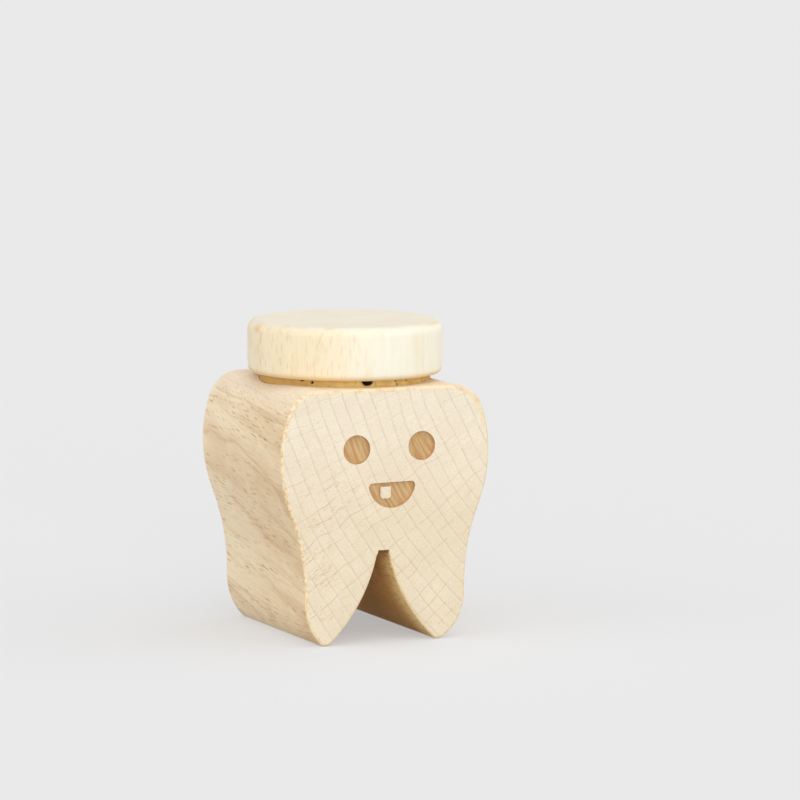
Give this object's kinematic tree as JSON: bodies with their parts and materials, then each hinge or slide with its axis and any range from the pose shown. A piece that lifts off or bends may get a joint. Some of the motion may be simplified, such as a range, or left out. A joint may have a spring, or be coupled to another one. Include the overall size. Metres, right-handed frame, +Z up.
{
  "type": "baby tooth box",
  "caption": "Molar-shaped wooden keepsake box for milk teeth, bored from above, with an engraved smile and a round wooden cap on a cork stopper.",
  "frame": {"origin": "on the table, under the middle of the tooth", "axes": "+Z up through the bore and the cap, -Y out of the engraved front, +X to the right of someone facing the front"},
  "size_m": [0.042, 0.0374, 0.0581],
  "materials": {
    "beech": "sanded bare beech, end grain on front and back",
    "cork": "bare cork with open pits",
    "cap_wood": "sanded bare pale wood, turned"
  },
  "bodies": {
    "tooth": {"tooth_body": "beech"},
    "lid": {"lid_cap": "cap_wood", "cork_stopper": "cork"}
  },
  "joints": [
    {"name": "lid_lift", "type": "slide", "parent": "tooth", "child": "lid", "axis": [0, 0, 1], "range_m": [0, 0.04]}
  ]
}
